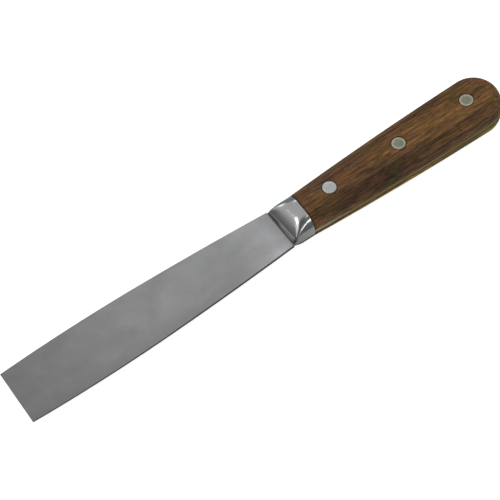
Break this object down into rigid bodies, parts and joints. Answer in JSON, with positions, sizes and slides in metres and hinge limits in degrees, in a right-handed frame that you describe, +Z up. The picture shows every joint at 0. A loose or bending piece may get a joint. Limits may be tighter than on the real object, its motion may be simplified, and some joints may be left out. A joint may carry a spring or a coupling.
{
  "type": "taping knife",
  "caption": "Narrow full-tang taping and filling knife: flexible taper-ground square-ended blade, scooped metal bolster, riveted hardwood scales.",
  "frame": {"origin": "on the surface that the lower scale rests on, under the middle of the knife's length", "axes": "+X along the knife from the blade's tip to the butt, +Y across the blade, +Z up through the handle's thickness"},
  "size_m": [0.2336, 0.027, 0.0162],
  "materials": {
    "blade_steel": "satin ground",
    "bolster_metal": "polished",
    "scale_wood": "oiled rosewood",
    "rivet_metal": "ground flush"
  },
  "bodies": {
    "root": {"blade": "blade_steel", "bolster": "bolster_metal", "upper_scale": "scale_wood", "lower_scale": "scale_wood", "front_rivet_sleeve": "rivet_metal", "front_rivet_pin": "rivet_metal", "middle_rivet_sleeve": "rivet_metal", "middle_rivet_pin": "rivet_metal", "rear_rivet_sleeve": "rivet_metal", "rear_rivet_pin": "rivet_metal"}
  },
  "joints": []
}
